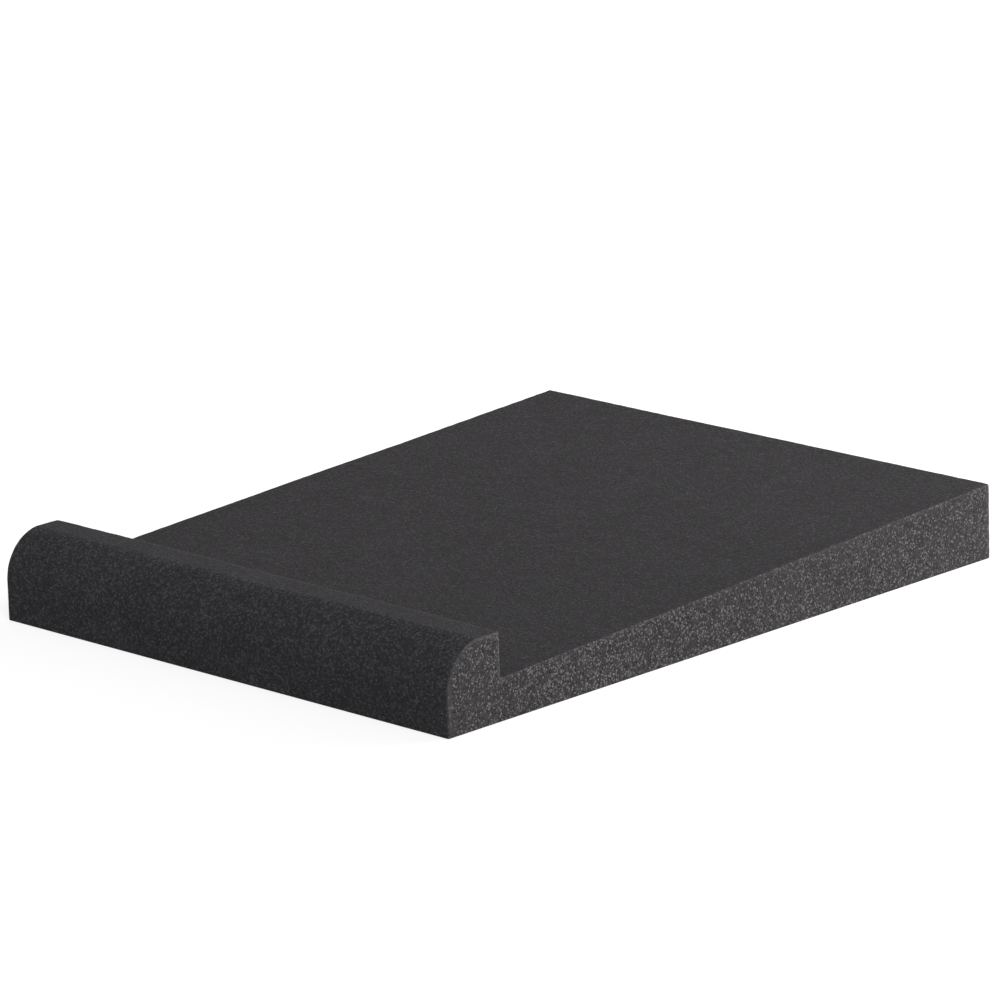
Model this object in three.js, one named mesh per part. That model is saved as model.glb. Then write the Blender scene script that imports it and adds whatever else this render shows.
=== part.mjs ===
// Speaker isolation pad: one block of charcoal open-cell foam, contour cut to a shallow wedge
// with a raised lip along its front that stops a loudspeaker from sliding off.
// Millimetres, +Z up. The origin is the middle of the underside. X runs along the lip,
// Y runs from the lip to the rear, and the part is symmetric about X = 0.

import * as THREE from 'three';

// Overall size: the width is the lip's length, the depth runs from the lip's face to the rear
const padWidth = 260;
const padDepth = 330;

// Lip along the front
const lipHeight = 37.5;
const lipDepth = 30;
const noseRadius = 20.2;

// The round nose stops a little short of level, so it meets the flat top at a slight crease
const noseTurn = THREE.MathUtils.degToRad(82);

// Sloping platform behind the lip, measured up from the underside
const platformFrontHeight = 18.1;
const platformRearHeight = 33;

// Softness of the outer edges, and the small radius that the cutting wire leaves at the lip's foot
const edgeRadius = 1.2;
const footRadius = 0.8;

// The ends are rounded a little less, so that their rounding fits inside that of the long edges
const endEdgeRadius = 0.75 * edgeRadius;

// Straight steps in each round stretch
const noseSteps = 16;
const cornerSteps = 4;
const endEdgeSteps = 3;

const foam = new THREE.MeshStandardMaterial({
  name: 'charcoal_foam',
  color: 0x3a3a3c,
  roughness: 0.95,
  metalness: 0
});

// Points of a rounded corner, on an arc that touches both sides of the corner
function roundedCorner(before, corner, after, radius) {
  const toBefore = before.clone().sub(corner).normalize();
  const toAfter = after.clone().sub(corner).normalize();
  const halfAngle = Math.acos(toBefore.dot(toAfter)) / 2;
  const reach = radius / Math.tan(halfAngle);
  const centre = toBefore.clone().add(toAfter).setLength(radius / Math.sin(halfAngle)).add(corner);
  const start = toBefore.multiplyScalar(reach).add(corner).sub(centre);
  const end = toAfter.multiplyScalar(reach).add(corner).sub(centre);
  const clockwise = start.cross(end) < 0;
  const arc = new THREE.EllipseCurve(
    centre.x, centre.y, radius, radius, start.angle(), end.angle(), clockwise
  );
  return arc.getPoints(cornerSteps);
}

// Side outline of the pad: x is the distance from the middle towards the rear, y is the height
function sideOutline() {
  const front = -padDepth / 2;
  const rear = padDepth / 2;
  const lipRear = front + lipDepth;
  const noseCentre = new THREE.Vector2(front + noseRadius, lipHeight - noseRadius * Math.sin(noseTurn));

  const frontBottom = new THREE.Vector2(front, 0);
  const rearBottom = new THREE.Vector2(rear, 0);
  const rearTop = new THREE.Vector2(rear, platformRearHeight);
  const lipFoot = new THREE.Vector2(lipRear, platformFrontHeight);
  const lipTop = new THREE.Vector2(lipRear, lipHeight);
  const crease = new THREE.Vector2(noseCentre.x - noseRadius * Math.cos(noseTurn), lipHeight);
  const noseStart = new THREE.Vector2(front, noseCentre.y);

  const nose = new THREE.EllipseCurve(
    noseCentre.x, noseCentre.y, noseRadius, noseRadius, Math.PI - noseTurn, Math.PI, false
  );
  return new THREE.Shape([
    ...roundedCorner(noseStart, frontBottom, rearBottom, edgeRadius),
    ...roundedCorner(frontBottom, rearBottom, rearTop, edgeRadius),
    ...roundedCorner(rearBottom, rearTop, lipFoot, edgeRadius),
    ...roundedCorner(rearTop, lipFoot, lipTop, footRadius),
    ...roundedCorner(lipFoot, lipTop, crease, edgeRadius),
    ...nose.getPoints(noseSteps)
  ]);
}

// The outline is run across the pad's width. Its bevel goes inwards, so the outline keeps its size
function foamPad() {
  const geometry = new THREE.ExtrudeGeometry(sideOutline(), {
    depth: padWidth - 2 * endEdgeRadius,
    steps: 1,
    bevelEnabled: true,
    bevelThickness: endEdgeRadius,
    bevelSize: endEdgeRadius,
    bevelOffset: -endEdgeRadius,
    bevelSegments: endEdgeSteps
  });
  geometry.translate(0, 0, endEdgeRadius - padWidth / 2);

  const rearward = new THREE.Vector3(0, 1, 0);
  const upward = new THREE.Vector3(0, 0, 1);
  const alongLip = new THREE.Vector3(1, 0, 0);
  geometry.applyMatrix4(new THREE.Matrix4().makeBasis(rearward, upward, alongLip));

  const pad = new THREE.Mesh(geometry, foam);
  pad.name = 'foam_pad';
  return pad;
}

const part = new THREE.Group();
part.add(foamPad());

export default part;
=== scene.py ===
"""Speaker isolation pad: a wedge of charcoal open-cell foam with a raised lip along its front."""

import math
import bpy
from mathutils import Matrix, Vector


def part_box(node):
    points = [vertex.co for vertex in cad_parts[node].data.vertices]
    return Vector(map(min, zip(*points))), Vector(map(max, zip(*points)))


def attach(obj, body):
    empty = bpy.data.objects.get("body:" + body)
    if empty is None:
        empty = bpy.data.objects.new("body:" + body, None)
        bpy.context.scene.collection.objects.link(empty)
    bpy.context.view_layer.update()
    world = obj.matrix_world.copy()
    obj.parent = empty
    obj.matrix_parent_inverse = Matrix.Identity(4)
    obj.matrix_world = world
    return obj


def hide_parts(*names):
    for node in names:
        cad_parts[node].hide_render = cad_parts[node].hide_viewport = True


bl_info = {
    "name": "Speaker Isolation Pad",
    "version": (1, 0, 0),
    "blender": (4, 5, 0),
    "location": "View3D > Sidebar > Foam Pad",
    "description": "Builds a contour-cut foam pad for a loudspeaker and the studio that shows it",
    "category": "Add Mesh",
}

import bmesh
import bpy
from mathutils import Matrix, Vector, noise

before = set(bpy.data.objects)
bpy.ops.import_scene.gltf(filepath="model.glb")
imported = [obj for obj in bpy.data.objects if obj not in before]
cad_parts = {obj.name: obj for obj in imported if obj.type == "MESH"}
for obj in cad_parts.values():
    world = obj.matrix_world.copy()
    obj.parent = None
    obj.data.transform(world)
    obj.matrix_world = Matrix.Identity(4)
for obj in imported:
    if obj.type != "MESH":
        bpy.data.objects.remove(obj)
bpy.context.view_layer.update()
PAD_LOW, PAD_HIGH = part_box("foam_pad")

# Steps of the round stretches
NOSE_STEPS = 16
EDGE_STEPS = 3

# Cutting the mesh: how near a cut may pass a vertex without a new one, and the share of the width
# from which an edge counts as one that crosses the pad
CUT_MERGE = 1e-7
CROSSING_SHARE = 0.8

# Small unevenness of the foam: how fast its octaves fade, how much finer each one is, and how many
RIPPLE_FADE = 0.6
RIPPLE_STEP = 2.0
RIPPLE_OCTAVES = 2

# How far a vertex faces sideways where the sawn look starts and where it is full, and the same for
# the lighter rim at its outer and its inner side. The rim is partly the edges' own thin fringe of
# cells and partly painted highlight
SAWN_FROM, SAWN_FULL = 0.3, 0.95
RIM_FROM, RIM_FULL = 0.05, 0.5
RIM_FADES, RIM_ENDS = 0.9, 1.0

# The rims fade out between these heights above the underside
BASE_CLEAR, BASE_RIM_FULL = 0.0005, 0.003

# The platform's rims are weaker from a little behind the lip to a little before the rear
BEHIND_LIP = 0.002
BEFORE_REAR = 0.004

# Least share by which a vertex faces rearwards on an upright wall, and upwards on a flat top
FACES_REAR = 0.7
FACES_UP = 0.99

# Reach of two tests of place, along the nose's crease and under the lip's top
CREASE_REACH = 0.0001
TOP_REACH = 0.001

# Mean of the pits' mask, and of the round part of the glints' mask. The grain takes them off again,
# so that it leaves the foam's mean colour as it is
PIT_MEAN = 0.22
GLINT_MEAN = 0.75

# Bright cell walls are spread a little wider than the pits, so that the two patterns don't line up
WALL_SPREAD = 0.93

# A pit's and a glint's round shape: where it starts to fade and where it has faded, in cells from
# its middle. A glint keeps a part of its light all over its cell
PIT_INNER, PIT_OUTER = 0.1, 0.7
GLINT_INNER, GLINT_OUTER, GLINT_LEAST = 0.1, 0.85, 0.25

# Roughness of the foam and of its brightest cell walls, and the foam's weak gloss
FOAM_ROUGHNESS = 1.0
WALL_ROUGHNESS = 0.75
FOAM_GLOSS = 0.1

# Frayed border of the sawn look: its noise's scale and detail, least and greatest shift, and softness
FRAY_SCALE = 500.0
FRAY_DETAIL = 1.0
FRAY_LOW, FRAY_HIGH = 0.2, 0.7
FRAY_SOFTNESS = 0.25

# Slow drift of the foam's lightness: its noise's scale and detail, darkest and lightest
CLOUD_SCALE = 45.0
CLOUD_DETAIL = 4.0
CLOUD_DARK, CLOUD_LIGHT = 0.95, 1.05

# Part of a noise's range that is stretched to its full effect
NOISE_LOW, NOISE_HIGH = 0.3, 0.7

# What a rim adds to the lightness and takes from the grain. The added lightness is partly the edges'
# own fringe of cells and partly painted highlight, and on the lip's flat top it is painted light
RIM_LIGHT = 0.25
RIM_CALM = 0.6

# Angle between two faces from which their shared edge is softened
SHARP_ANGLE = math.radians(30)

# The grain's relief: its depth, its strength on the sawn ends, where it is fullest, and its share on
# the top, the front and the ends
RELIEF_DEPTH = 0.0003
RELIEF_STRENGTH = 0.6
RELIEF_SHARES = (0.4, 0.6, 1.0)

# How strong the ends' rims are along the frayed border of the platform, the painted highlight on the
# lip's inner top edge and the painted light on its flat top, against 1 at the ends' other rims
PLATFORM_RIM = 0.5
LIP_EDGE_HIGHLIGHT = 0.8
LIP_TOP_PAINTED_LIGHT = 0.25

# Reach of the painted highlight round the lip's inner top edge, in edge radii
LIP_EDGE_REACH = 1.5

# Rings of vertices that a rim's mark spreads into a sawn end by, and its share at each
SPREAD_SHARES = (1.0, 0.5)

# Floor: half its side, its depth under the pad, its greys for bounced light and for the camera, and
# the glow that makes up the rest of the white
FLOOR_REACH = 30
FLOOR_DROP = 0.0001
BOUNCE_GREY = 0.55
SEEN_GREY = 0.4
SEEN_GLOW = 0.75

# Directions of the two far lights in degrees, azimuth and elevation, and their softness
KEY_FROM = (60, 35)
BACK_FROM = (150, 12)
SUN_SPREAD = 30

# Width of the camera's sensor in millimetres, and the nearest and farthest that it sees in metres
SENSOR_WIDTH = 36.0
CLIP_NEAR, CLIP_FAR = 0.1, 100.0

# Places of the two near lights in metres, and their sides
REAR_PLACE = (0.3, 0.9, 0.2)
REAR_SIDE = 0.4
OVER_PLACE = (0.0, 0.5, 0.5)
OVER_SIDE = 0.3


class PadSizes(bpy.types.PropertyGroup):
    """Sizes of the foam block, inside the width, depth and height that the frame gives"""

    lip_depth: bpy.props.FloatProperty(
        name="Lip Depth",
        description="From the lip's front to the wall behind it",
        default=0.030,
        unit="LENGTH",
    )
    nose_radius: bpy.props.FloatProperty(
        name="Nose Radius",
        description="Radius of the lip's round front edge",
        default=0.0202,
        unit="LENGTH",
    )
    nose_turn: bpy.props.FloatProperty(
        name="Nose Turn",
        description="Angle that the round edge turns through before it creases into the flat top",
        default=math.radians(82),
        subtype="ANGLE",
    )
    platform_front: bpy.props.FloatProperty(
        name="Platform Front Height",
        description="Height of the platform at the foot of the lip's wall",
        default=0.0181,
        unit="LENGTH",
    )
    platform_rear: bpy.props.FloatProperty(
        name="Platform Rear Height",
        description="Height of the platform at the rear",
        default=0.033,
        unit="LENGTH",
    )
    edge_radius: bpy.props.FloatProperty(
        name="Edge Radius",
        description="Softness of the outer edges",
        default=0.0008,
        unit="LENGTH",
    )
    base_radius: bpy.props.FloatProperty(
        name="Base Radius",
        description="Softness of the edges round the underside",
        default=0.0004,
        unit="LENGTH",
    )
    foot_radius: bpy.props.FloatProperty(
        name="Foot Radius",
        description="Radius that the cutting wire leaves between the wall and the platform",
        default=0.0008,
        unit="LENGTH",
    )
    mesh_pitch: bpy.props.FloatProperty(
        name="Mesh Pitch",
        description="Distance between the mesh's lines, which carry the waviness of the cut",
        default=0.0016,
        unit="LENGTH",
    )
    wave_height: bpy.props.FloatProperty(
        name="Wave Height",
        description="How far the long waves of the cut stray from the true surface",
        default=0.00022,
        unit="LENGTH",
    )
    wave_length: bpy.props.FloatProperty(
        name="Wave Length",
        description="Length of those waves",
        default=0.07,
        unit="LENGTH",
    )
    ripple_height: bpy.props.FloatProperty(
        name="Ripple Height",
        description="How far the small unevenness of the foam strays from the true surface",
        default=0.00009,
        unit="LENGTH",
    )
    ripple_length: bpy.props.FloatProperty(
        name="Ripple Length",
        description="Length of that unevenness",
        default=0.005,
        unit="LENGTH",
    )


class FoamLook(bpy.types.PropertyGroup):
    """Colours and grain of the foam"""

    colour: bpy.props.FloatVectorProperty(
        name="Foam Colour",
        description="Colour of the flat faces, top and bottom",
        subtype="COLOR",
        size=3,
        min=0.0,
        max=1.0,
        default=(0.0358, 0.0335, 0.0358),
    )
    # The front's colour is painted light: it is set lighter than the top's colour, which brightens
    # the front beyond what the lamps give it
    front_colour: bpy.props.FloatVectorProperty(
        name="Front Colour",
        description="Colour of the front with its round edge, which the cutting wire leaves darker",
        subtype="COLOR",
        size=3,
        min=0.0,
        max=1.0,
        default=(0.0431, 0.0422, 0.0455),
    )
    # The sawn ends' colour is partly their own lighter opened cells and partly painted light, which
    # makes the ends brighter than the lamps alone make them
    sawn_colour: bpy.props.FloatVectorProperty(
        name="Sawn Colour",
        description="Colour of the sawn ends, where opened cells catch more light",
        subtype="COLOR",
        size=3,
        min=0.0,
        max=1.0,
        default=(0.0621, 0.0588, 0.0610),
    )
    cell: bpy.props.FloatProperty(
        name="Cell Size",
        description="Distance between the foam's cells",
        default=0.00076,
        unit="LENGTH",
    )
    # The pits are painted shade in the hollow cells
    pits: bpy.props.FloatVectorProperty(
        name="Pits",
        description="How dark the hollow cells are on the top, the front and the ends",
        size=3,
        default=(0.3, 0.37, 0.52),
    )
    # The glints are the bright cell walls: partly their own lighter colour and partly painted glints
    # where they catch light
    glints: bpy.props.FloatVectorProperty(
        name="Glints",
        description="How light the bright cell walls are on the top, the front and the ends",
        size=3,
        default=(0.82, 1.45, 2.35),
    )
    sparseness: bpy.props.FloatVectorProperty(
        name="Sparseness",
        description="How few of the cell walls are bright on the top, the front and the ends",
        size=3,
        default=(2.0, 2.0, 2.6),
    )


class StageSettings(bpy.types.PropertyGroup):
    """Camera and light"""

    aim: bpy.props.FloatVectorProperty(
        name="Aim",
        description="Point in the middle of the picture",
        size=3,
        subtype="XYZ",
        unit="LENGTH",
        default=(-0.00938, 0.00857, 0.03561),
    )
    distance: bpy.props.FloatProperty(
        name="Distance",
        description="From the camera to the aim point",
        default=2.6248,
        unit="LENGTH",
    )
    azimuth: bpy.props.FloatProperty(
        name="Azimuth",
        description="Turn of the camera round the pad, to the right of its front",
        default=math.radians(44.636),
        subtype="ANGLE",
    )
    elevation: bpy.props.FloatProperty(
        name="Elevation",
        description="Height of the camera above the horizon",
        default=math.radians(15.437),
        subtype="ANGLE",
    )
    roll: bpy.props.FloatProperty(
        name="Roll",
        description="Tilt of the camera about its line of sight",
        default=math.radians(-1.621),
        subtype="ANGLE",
    )
    lens: bpy.props.FloatProperty(
        name="Lens",
        description="Focal length in millimetres on a 36 mm sensor",
        default=222.5,
    )
    sky: bpy.props.FloatProperty(
        name="Sky",
        description="Strength of the even light from all sides",
        default=0.4,
    )
    key: bpy.props.FloatProperty(
        name="Key Light",
        description="Strength of the soft light from above, at the front right",
        default=1.2,
    )
    back: bpy.props.FloatProperty(
        name="Back Light",
        description="Strength of the low light from the rear, which sets off the lip's flat top",
        default=1.78,
    )
    rear: bpy.props.FloatProperty(
        name="Rear Light",
        description="Power of the near light behind the pad, in watts",
        default=10.2,
    )
    over: bpy.props.FloatProperty(
        name="Light over the Rear",
        description="Power of the near light above the platform's rear, in watts",
        default=0.4,
    )


def settings():
    scene = bpy.context.scene
    return scene.pad_sizes, scene.pad_foam, scene.pad_stage


def everything(bm):
    return bm.verts[:] + bm.edges[:] + bm.faces[:]


def side_outline(bm, sizes):
    """Makes the pad's side outline as one face at its left end."""
    left, front, top = PAD_LOW.x, PAD_LOW.y, PAD_HIGH.z
    lip_rear = front + sizes.lip_depth
    nose_start_height = top - sizes.nose_radius * math.sin(sizes.nose_turn)
    nose_start = bm.verts.new((left, front, nose_start_height))
    nose = bmesh.ops.spin(
        bm,
        geom=[nose_start],
        cent=(left, front + sizes.nose_radius, nose_start_height),
        axis=(1, 0, 0),
        angle=-sizes.nose_turn,
        steps=NOSE_STEPS,
        use_merge=False,
    )
    crease = next(v for v in nose["geom_last"] if isinstance(v, bmesh.types.BMVert))
    corners = [
        (lip_rear, top),
        (lip_rear, sizes.platform_front),
        (PAD_HIGH.y, sizes.platform_rear),
        (PAD_HIGH.y, PAD_LOW.z),
        (front, PAD_LOW.z),
    ]
    chain = [crease] + [bm.verts.new((left, y, z)) for y, z in corners] + [nose_start]
    for start, end in zip(chain, chain[1:]):
        bm.edges.new((start, end))
    bmesh.ops.contextual_create(bm, geom=bm.edges[:])


def run_across(bm):
    """Runs the outline across the pad's width to a closed block."""
    run = bmesh.ops.extrude_face_region(bm, geom=bm.faces[:], use_keep_orig=True)
    moved = [v for v in run["geom"] if isinstance(v, bmesh.types.BMVert)]
    bmesh.ops.translate(bm, verts=moved, vec=(PAD_HIGH.x - PAD_LOW.x, 0, 0))
    bmesh.ops.recalc_face_normals(bm, faces=bm.faces[:])


def soften(bm, edges, radius):
    """Rounds edges."""
    bmesh.ops.bevel(
        bm,
        geom=edges,
        offset=radius,
        offset_type="OFFSET",
        affect="EDGES",
        segments=EDGE_STEPS,
        profile=0.5,
        clamp_overlap=False,
        material=-1,
    )


def is_foot(edge, sizes):
    """True for the inner corner between the lip's wall and the platform."""
    place = Vector((0, PAD_LOW.y + sizes.lip_depth, sizes.platform_front))
    return all((Vector((0, *v.co.yz)) - place).length < sizes.foot_radius for v in edge.verts)


def is_base(edge, sizes):
    """True for an edge of the underside."""
    return all(v.co.z < PAD_LOW.z + sizes.base_radius / 2 for v in edge.verts)


def soften_edges(bm, sizes):
    """Rounds the foot of the lip's wall, then the outer edges, crisper round the underside."""
    soften(bm, [e for e in bm.edges if is_foot(e, sizes)], sizes.foot_radius)
    sharp = [e for e in bm.edges if e.is_convex and e.calc_face_angle(0) > SHARP_ANGLE]
    soften(bm, [e for e in sharp if not is_base(e, sizes)], sizes.edge_radius)
    base = [e for e in bm.edges if is_base(e, sizes) and e.calc_face_angle(0) > SHARP_ANGLE]
    soften(bm, base, sizes.base_radius)


def cut_lines(bm, sizes):
    """Cuts the block into a fine even grid."""
    for axis in (1, 2):
        low, high = PAD_LOW[axis], PAD_HIGH[axis]
        cuts = round((high - low) / sizes.mesh_pitch)
        normal = Vector((0, 0, 0))
        normal[axis] = 1
        for i in range(1, cuts):
            place = normal * (low + (high - low) * i / cuts)
            bmesh.ops.bisect_plane(
                bm, geom=everything(bm), dist=CUT_MERGE, plane_co=place, plane_no=normal
            )
    width = PAD_HIGH.x - PAD_LOW.x
    across = [e for e in bm.edges if e.calc_length() > CROSSING_SHARE * width]
    bmesh.ops.subdivide_edges(
        bm, edges=across, cuts=round(width / sizes.mesh_pitch) - 1, use_grid_fill=True
    )


def smoothstep(value, low, high):
    t = min(max((value - low) / (high - low), 0.0), 1.0)
    return t * t * (3 - 2 * t)


def crease_place(sizes):
    """Distance of the nose's upper end along Y."""
    return PAD_LOW.y + sizes.nose_radius * (1 - math.cos(sizes.nose_turn))


def spread_inwards(bm, rim, sawn, share):
    """Spreads the rim's mark by one vertex into the sawn ends."""
    worn = {vert: vert[rim] for vert in bm.verts}
    for vert in bm.verts:
        near = max(worn[edge.other_vert(vert)] for edge in vert.link_edges)
        vert[rim] = max(worn[vert], share * near * vert[sawn])


def rims_and_painted_light_by_place(bm, sizes, rim):
    """Clears the rims near the underside, calms the platform's, and paints a highlight on the lip's
    inner top edge and light on its flat top.
    """
    lip_rear, top = PAD_LOW.y + sizes.lip_depth, PAD_HIGH.z
    for vert in bm.verts:
        vert[rim] *= smoothstep(vert.co.z, PAD_LOW.z + BASE_CLEAR, PAD_LOW.z + BASE_RIM_FULL)
        if lip_rear + BEHIND_LIP < vert.co.y < PAD_HIGH.y - BEFORE_REAR:
            vert[rim] *= PLATFORM_RIM
        # Painted highlight on the lip's inner top edge, and painted light on its flat top
        if (vert.co.yz - Vector((lip_rear, top))).length < LIP_EDGE_REACH * sizes.edge_radius:
            vert[rim] = max(vert[rim], LIP_EDGE_HIGHLIGHT)
        elif vert.normal.z > FACES_UP and vert.co.z > top - TOP_REACH:
            vert[rim] = max(vert[rim], LIP_TOP_PAINTED_LIGHT)


def mark_cuts(bm, sizes):
    """Marks the vertices for the foam's look: sawn ends, round-cut front and lighter rims, which are
    partly the edges' own fringe and partly painted highlight.
    """
    sawn = bm.verts.layers.float.new("sawn")
    front = bm.verts.layers.float.new("front")
    rim = bm.verts.layers.float.new("rim")
    bm.normal_update()
    for vert in bm.verts:
        sideways = abs(vert.normal.x)
        vert[sawn] = smoothstep(sideways, SAWN_FROM, SAWN_FULL)
        before_crease = vert.co.y < crease_place(sizes) + CREASE_REACH
        vert[front] = 1.0 if before_crease or vert.normal.y > FACES_REAR else 0.0
        inner = smoothstep(sideways, RIM_FADES, RIM_ENDS)
        vert[rim] = smoothstep(sideways, RIM_FROM, RIM_FULL) * (1 - inner)
    for share in SPREAD_SHARES:
        spread_inwards(bm, rim, sawn, share)
    rims_and_painted_light_by_place(bm, sizes, rim)


def unevenness(bm, sizes):
    """Strays the surface from its true form, but not the underside, which lies flat."""
    flat_height = PAD_LOW.z + sizes.edge_radius
    moves = []
    for vert in bm.verts:
        wave = noise.noise(vert.co / sizes.wave_length)
        place = vert.co / sizes.ripple_length
        ripple = noise.fractal(place, RIPPLE_FADE, RIPPLE_STEP, RIPPLE_OCTAVES)
        free = smoothstep(vert.co.z, PAD_LOW.z, flat_height)
        stray = sizes.wave_height * wave + sizes.ripple_height * ripple
        moves.append(vert.normal * stray * free)
    for vert, move in zip(bm.verts, moves):
        vert.co += move


def finish_mesh(bm, name, material):
    """Turns a bmesh into a smooth-shaded object at the origin."""
    mesh = bpy.data.meshes.new(name)
    bm.to_mesh(mesh)
    bm.free()
    mesh.shade_smooth()
    mesh.materials.append(material)
    made = bpy.data.objects.new(name, mesh)
    bpy.context.scene.collection.objects.link(made)
    return made


def link(tree, source, target):
    tree.links.new(source, target)


def node(tree, kind, **values):
    made = tree.nodes.new(kind)
    for key, value in values.items():
        setattr(made, key, value)
    return made


def math_node(tree, operation, first, second):
    """A Math node whose two inputs are sockets or numbers."""
    made = node(tree, "ShaderNodeMath", operation=operation)
    for socket, value in zip(made.inputs, (first, second)):
        if isinstance(value, bpy.types.NodeSocket):
            link(tree, value, socket)
        else:
            socket.default_value = value
    return made.outputs[0]


def ramp_node(tree, value, low, high, to_low=0.0, to_high=1.0):
    """A clamped, smooth Map Range node whose limits are sockets or numbers."""
    made = node(tree, "ShaderNodeMapRange", interpolation_type="SMOOTHSTEP")
    for socket, entry in zip(made.inputs, (value, low, high, to_low, to_high)):
        if isinstance(entry, bpy.types.NodeSocket):
            link(tree, entry, socket)
        else:
            socket.default_value = entry
    return made.outputs[0]


def noise_node(tree, place, scale, detail):
    """Noise in the object's own coordinates."""
    made = node(tree, "ShaderNodeTexNoise", noise_dimensions="3D")
    made.inputs["Scale"].default_value = scale
    made.inputs["Detail"].default_value = detail
    link(tree, place.outputs["Object"], made.inputs["Vector"])
    return made.outputs["Fac"]


def group_socket(group, name, kind, side, default=None):
    made = group.interface.new_socket(name=name, in_out=side, socket_type=kind)
    if default is not None:
        made.default_value = default
    return made


def voronoi(group, vector, scale):
    """Voronoi cells: the distance from the nearest middle, and each cell's own number."""
    cells = node(group, "ShaderNodeTexVoronoi", voronoi_dimensions="3D", feature="F1")
    link(group, vector, cells.inputs["Vector"])
    link(group, scale, cells.inputs["Scale"])
    colour = node(group, "ShaderNodeSeparateColor")
    link(group, cells.outputs["Color"], colour.inputs["Color"])
    return cells.outputs["Distance"], colour.outputs["Red"]


def foam_cells_group():
    """Open foam cells: how light each point is beside the plain colour, and its height."""
    group = bpy.data.node_groups.new("Foam Cells", "ShaderNodeTree")
    group_socket(group, "Vector", "NodeSocketVector", "INPUT")
    group_socket(group, "Cells per Metre", "NodeSocketFloat", "INPUT", 900.0)
    group_socket(group, "Pits", "NodeSocketFloat", "INPUT", 0.4)
    group_socket(group, "Glints", "NodeSocketFloat", "INPUT", 2.0)
    group_socket(group, "Sparseness", "NodeSocketFloat", "INPUT", 2.0)
    group_socket(group, "Lightness", "NodeSocketFloat", "OUTPUT")
    group_socket(group, "Height", "NodeSocketFloat", "OUTPUT")
    group_socket(group, "Roughness", "NodeSocketFloat", "OUTPUT")
    entry = node(group, "NodeGroupInput")
    result = node(group, "NodeGroupOutput")
    vector, density = entry.outputs["Vector"], entry.outputs["Cells per Metre"]

    # Pits: painted shade in the hollow cells
    depth, deep = voronoi(group, vector, density)
    hollow = ramp_node(group, depth, PIT_INNER, PIT_OUTER, 1.0, 0.0)
    pits = math_node(group, "MULTIPLY", hollow, deep)

    # Glints: bright cell walls, partly their own lighter colour and partly painted glints
    wall_density = math_node(group, "MULTIPLY", density, WALL_SPREAD)
    wall_distance, own = voronoi(group, vector, wall_density)
    sparse = entry.outputs["Sparseness"]
    chosen = math_node(group, "POWER", own, sparse)
    dot = ramp_node(group, wall_distance, GLINT_INNER, GLINT_OUTER, 1.0, GLINT_LEAST)
    glints = math_node(group, "MULTIPLY", chosen, dot)

    glint_mean = math_node(group, "DIVIDE", GLINT_MEAN, math_node(group, "ADD", sparse, 1.0))
    more_pits = math_node(group, "SUBTRACT", pits, PIT_MEAN)
    more_glints = math_node(group, "SUBTRACT", glints, glint_mean)
    darker = math_node(group, "MULTIPLY", more_pits, entry.outputs["Pits"])
    lighter = math_node(group, "MULTIPLY", more_glints, entry.outputs["Glints"])
    base = math_node(group, "SUBTRACT", 1.0, darker)
    link(group, math_node(group, "ADD", base, lighter), result.inputs["Lightness"])
    raised = math_node(group, "SUBTRACT", glints, pits)
    link(group, raised, result.inputs["Height"])
    dullness = ramp_node(group, glints, 0.0, 1.0, FOAM_ROUGHNESS, WALL_ROUGHNESS)
    link(group, dullness, result.inputs["Roughness"])
    return group


def by_face(tree, masks, values):
    """A value or colour for the flat faces, the front and the sawn ends, chosen by the two masks."""
    coloured = not isinstance(values[0], float)
    current = None
    for mask, value in zip(masks, values[1:]):
        kind = "RGBA" if coloured else "FLOAT"
        mixed = node(tree, "ShaderNodeMix", data_type=kind)
        link(tree, mask, mixed.inputs[0])
        first, second, output = (6, 7, 2) if coloured else (2, 3, 0)
        if current is None:
            mixed.inputs[first].default_value = (*values[0], 1.0) if coloured else values[0]
        else:
            link(tree, current, mixed.inputs[first])
        mixed.inputs[second].default_value = (*value, 1.0) if coloured else value
        current = mixed.outputs[output]
    return current


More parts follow.
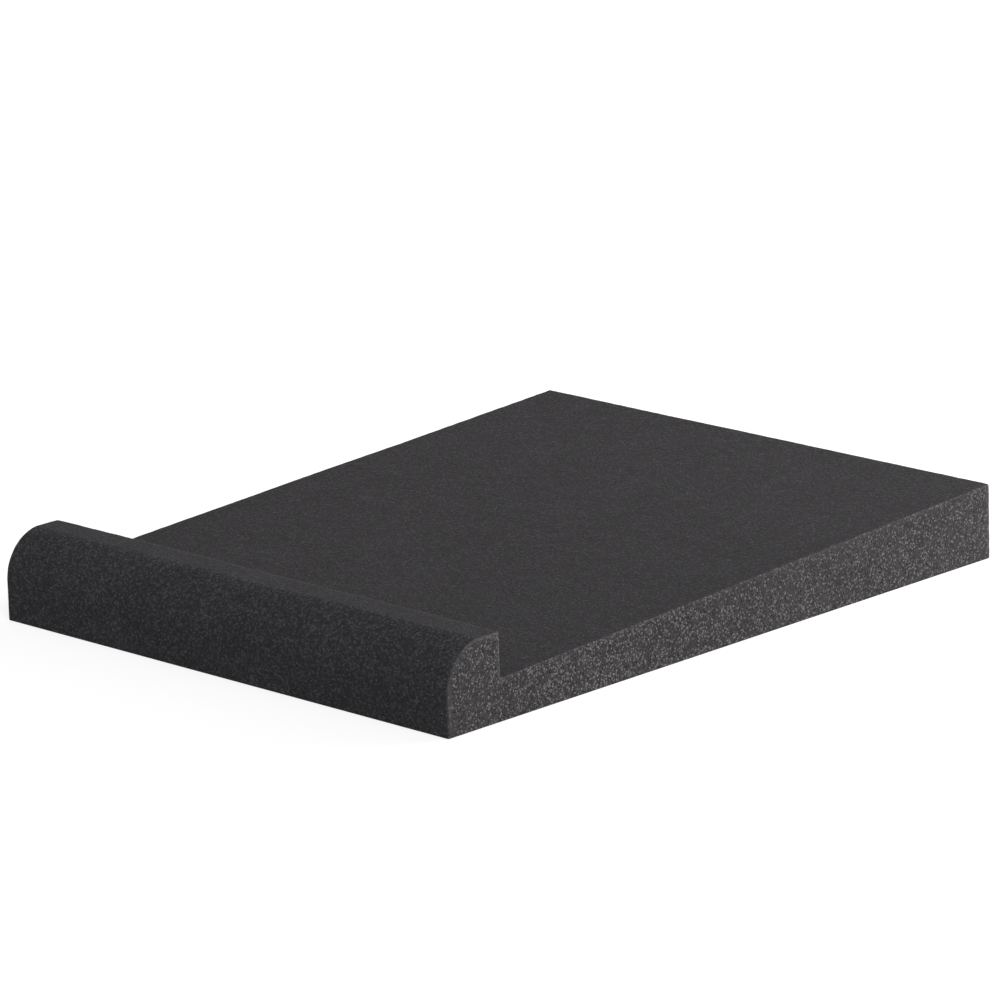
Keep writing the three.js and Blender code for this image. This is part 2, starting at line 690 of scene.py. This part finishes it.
def foam_material(look):
    """Dull charcoal foam: fine grain on the flat faces, coarse sparkle on the sawn ends."""
    material = bpy.data.materials.new("charcoal_foam")
    material.use_nodes = True
    tree = material.node_tree
    shader = tree.nodes["Principled BSDF"]
    place = node(tree, "ShaderNodeTexCoord")
    sawn = node(tree, "ShaderNodeAttribute", attribute_name="sawn").outputs["Fac"]
    front = node(tree, "ShaderNodeAttribute", attribute_name="front").outputs["Fac"]
    rim = node(tree, "ShaderNodeAttribute", attribute_name="rim").outputs["Fac"]

    fray = noise_node(tree, place, FRAY_SCALE, FRAY_DETAIL)
    border = ramp_node(tree, fray, NOISE_LOW, NOISE_HIGH, FRAY_LOW, FRAY_HIGH)
    frayed = ramp_node(tree, sawn, border, math_node(tree, "ADD", border, FRAY_SOFTNESS))
    masks = (front, frayed)

    cells = node(tree, "ShaderNodeGroup")
    cells.node_tree = foam_cells_group()
    link(tree, place.outputs["Object"], cells.inputs["Vector"])
    cells.inputs["Cells per Metre"].default_value = 1.0 / look.cell
    calm = math_node(tree, "SUBTRACT", 1.0, math_node(tree, "MULTIPLY", rim, RIM_CALM))
    pits = math_node(tree, "MULTIPLY", by_face(tree, masks, tuple(look.pits)), calm)
    glints = math_node(tree, "MULTIPLY", by_face(tree, masks, tuple(look.glints)), calm)
    link(tree, pits, cells.inputs["Pits"])
    link(tree, glints, cells.inputs["Glints"])
    link(tree, by_face(tree, masks, tuple(look.sparseness)), cells.inputs["Sparseness"])

    clouds = noise_node(tree, place, CLOUD_SCALE, CLOUD_DETAIL)
    drift = ramp_node(tree, clouds, NOISE_LOW, NOISE_HIGH, CLOUD_DARK, CLOUD_LIGHT)
    # The rim mark lightens the rims, partly as their own fringe and partly as painted highlight, and
    # paints light on the lip's flat top
    lift = math_node(tree, "ADD", drift, math_node(tree, "MULTIPLY", rim, RIM_LIGHT))
    lightness = math_node(tree, "MULTIPLY", cells.outputs["Lightness"], lift)

    coloured = node(tree, "ShaderNodeMix", data_type="RGBA", blend_type="MULTIPLY")
    coloured.inputs[0].default_value = 1.0
    # The front's colour and part of the sawn ends' colour are painted light
    colours = (tuple(look.colour), tuple(look.front_colour), tuple(look.sawn_colour))
    link(tree, by_face(tree, masks, colours), coloured.inputs[6])
    link(tree, lightness, coloured.inputs[7])
    link(tree, coloured.outputs[2], shader.inputs["Base Color"])

    relief = node(tree, "ShaderNodeBump")
    relief.inputs["Distance"].default_value = RELIEF_DEPTH
    relief.inputs["Strength"].default_value = RELIEF_STRENGTH
    coarse = by_face(tree, masks, RELIEF_SHARES)
    height = math_node(tree, "MULTIPLY", cells.outputs["Height"], coarse)
    link(tree, height, relief.inputs["Height"])
    link(tree, relief.outputs["Normal"], shader.inputs["Normal"])

    link(tree, cells.outputs["Roughness"], shader.inputs["Roughness"])
    shader.inputs["Specular IOR Level"].default_value = FOAM_GLOSS
    return material


class PAD_OT_foam_block(bpy.types.Operator):
    """Make the foam block with its lip, its sloping platform and its cut faces"""

    bl_idname = "pad.foam_block"
    bl_label = "Foam Block"

    def execute(self, context):
        sizes, look, _ = settings()
        bm = bmesh.new()
        side_outline(bm, sizes)
        run_across(bm)
        soften_edges(bm, sizes)
        cut_lines(bm, sizes)
        mark_cuts(bm, sizes)
        unevenness(bm, sizes)
        block = finish_mesh(bm, "foam_block", foam_material(look))
        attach(block, "root")
        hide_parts("foam_pad")
        return {"FINISHED"}


def seen_rays(tree):
    """1 for what the camera sees, straight, in a gloss or through glass, and 0 for other light."""
    rays = node(tree, "ShaderNodeLightPath")
    straight, gloss = rays.outputs["Is Camera Ray"], rays.outputs["Is Glossy Ray"]
    reflected = math_node(tree, "MAXIMUM", straight, gloss)
    return math_node(tree, "MAXIMUM", reflected, rays.outputs["Is Transmission Ray"])


def floor_material():
    """White for the camera, with the pad's faint shadow, and pale for the light it gives back."""
    material = bpy.data.materials.new("studio_floor")
    material.use_nodes = True
    tree = material.node_tree
    tree.nodes.clear()
    output = node(tree, "ShaderNodeOutputMaterial")
    seen = node(tree, "ShaderNodeMixShader")
    pale = node(tree, "ShaderNodeBsdfDiffuse")
    pale.inputs["Color"].default_value = (BOUNCE_GREY, BOUNCE_GREY, BOUNCE_GREY, 1.0)
    white = node(tree, "ShaderNodeAddShader")
    matt = node(tree, "ShaderNodeBsdfDiffuse")
    matt.inputs["Color"].default_value = (SEEN_GREY, SEEN_GREY, SEEN_GREY, 1.0)
    glow = node(tree, "ShaderNodeEmission")
    glow.inputs["Strength"].default_value = SEEN_GLOW
    link(tree, seen_rays(tree), seen.inputs[0])
    link(tree, pale.outputs[0], seen.inputs[1])
    link(tree, matt.outputs[0], white.inputs[0])
    link(tree, glow.outputs[0], white.inputs[1])
    link(tree, white.outputs[0], seen.inputs[2])
    link(tree, seen.outputs[0], output.inputs["Surface"])
    return material


def make_floor():
    bm = bmesh.new()
    bmesh.ops.create_grid(bm, x_segments=1, y_segments=1, size=FLOOR_REACH)
    bmesh.ops.translate(bm, verts=bm.verts[:], vec=(0, 0, PAD_LOW.z - FLOOR_DROP))
    finish_mesh(bm, "studio_floor", floor_material())


def make_world(stage):
    """White behind the pad, and an even light from all sides."""
    world = bpy.data.worlds.new("studio")
    world.use_nodes = True
    tree = world.node_tree
    tree.nodes.clear()
    output = node(tree, "ShaderNodeOutputWorld")
    light = node(tree, "ShaderNodeBackground")
    light.inputs["Strength"].default_value = stage.sky
    behind = node(tree, "ShaderNodeBackground")
    mixed = node(tree, "ShaderNodeMixShader")
    for background in (light, behind):
        background.inputs["Color"].default_value = (1.0, 1.0, 1.0, 1.0)
    link(tree, seen_rays(tree), mixed.inputs[0])
    link(tree, light.outputs[0], mixed.inputs[1])
    link(tree, behind.outputs[0], mixed.inputs[2])
    link(tree, mixed.outputs[0], output.inputs["Surface"])
    bpy.context.scene.world = world


def direction(azimuth, elevation):
    """The way from the pad to a place round it.

    Azimuth 0 is in front of the lip, and 90 degrees is at its right.
    """
    return Vector(
        (
            math.sin(azimuth) * math.cos(elevation),
            -math.cos(azimuth) * math.cos(elevation),
            math.sin(elevation),
        )
    )


def make_light(name, kind, energy, towards):
    """A light that shines from the way given, and isn't seen itself."""
    data = bpy.data.lights.new(name, kind)
    data.energy = energy
    light = bpy.data.objects.new(name, data)
    light.rotation_euler = towards.to_track_quat("Z", "Y").to_euler()
    light.visible_camera = False
    bpy.context.scene.collection.objects.link(light)
    return light


def make_panel(name, place, size, power):
    """A soft square light that faces the pad."""
    light = make_light(name, "AREA", power, Vector(place))
    light.location = place
    light.data.size = size


def make_sun(name, place, strength):
    """A far soft light, at an azimuth and an elevation in degrees."""
    azimuth, elevation = (math.radians(angle) for angle in place)
    light = make_light(name, "SUN", strength, direction(azimuth, elevation))
    light.data.angle = math.radians(SUN_SPREAD)


def make_camera(stage):
    data = bpy.data.cameras.new("studio_camera")
    data.lens = stage.lens
    data.sensor_width = SENSOR_WIDTH
    data.clip_start = CLIP_NEAR
    data.clip_end = CLIP_FAR
    back = direction(stage.azimuth, stage.elevation)
    level = back.to_track_quat("Z", "Y").to_matrix().to_4x4()
    camera = bpy.data.objects.new("studio_camera", data)
    place = Matrix.Translation(Vector(stage.aim) + back * stage.distance)
    camera.matrix_world = place @ level @ Matrix.Rotation(stage.roll, 4, "Z")
    bpy.context.scene.collection.objects.link(camera)
    bpy.context.scene.camera = camera


class PAD_OT_stage(bpy.types.Operator):
    """Make the floor, the light and the camera"""

    bl_idname = "pad.stage"
    bl_label = "Studio Stage"

    def execute(self, context):
        stage = settings()[2]
        make_floor()
        make_world(stage)
        make_sun("key_light", KEY_FROM, stage.key)
        make_sun("back_light", BACK_FROM, stage.back)
        make_panel("rear_light", REAR_PLACE, REAR_SIDE, stage.rear)
        make_panel("over_light", OVER_PLACE, OVER_SIDE, stage.over)
        make_camera(stage)
        context.scene.view_settings.view_transform = "Standard"
        return {"FINISHED"}


class PAD_PT_panel(bpy.types.Panel):
    """Lists the sizes, the foam's look, the stage and what makes them"""

    bl_label = "Foam Pad"
    bl_idname = "PAD_PT_panel"
    bl_space_type = "VIEW_3D"
    bl_region_type = "UI"
    bl_category = "Foam Pad"

    def draw(self, context):
        layout = self.layout
        for group in settings():
            box = layout.box()
            for name in group.bl_rna.properties.keys():
                if name not in {"rna_type", "name"}:
                    box.prop(group, name)
        layout.operator(PAD_OT_foam_block.bl_idname)
        layout.operator(PAD_OT_stage.bl_idname)


CLASSES = (PadSizes, FoamLook, StageSettings, PAD_OT_foam_block, PAD_OT_stage, PAD_PT_panel)


def register():
    for cls in CLASSES:
        bpy.utils.register_class(cls)
    bpy.types.Scene.pad_sizes = bpy.props.PointerProperty(type=PadSizes)
    bpy.types.Scene.pad_foam = bpy.props.PointerProperty(type=FoamLook)
    bpy.types.Scene.pad_stage = bpy.props.PointerProperty(type=StageSettings)


def unregister():
    del bpy.types.Scene.pad_stage
    del bpy.types.Scene.pad_foam
    del bpy.types.Scene.pad_sizes
    for cls in reversed(CLASSES):
        bpy.utils.unregister_class(cls)


def main():
    register()
    bpy.ops.pad.stage()
    bpy.ops.pad.foam_block()


if __name__ == "__main__":
    main()
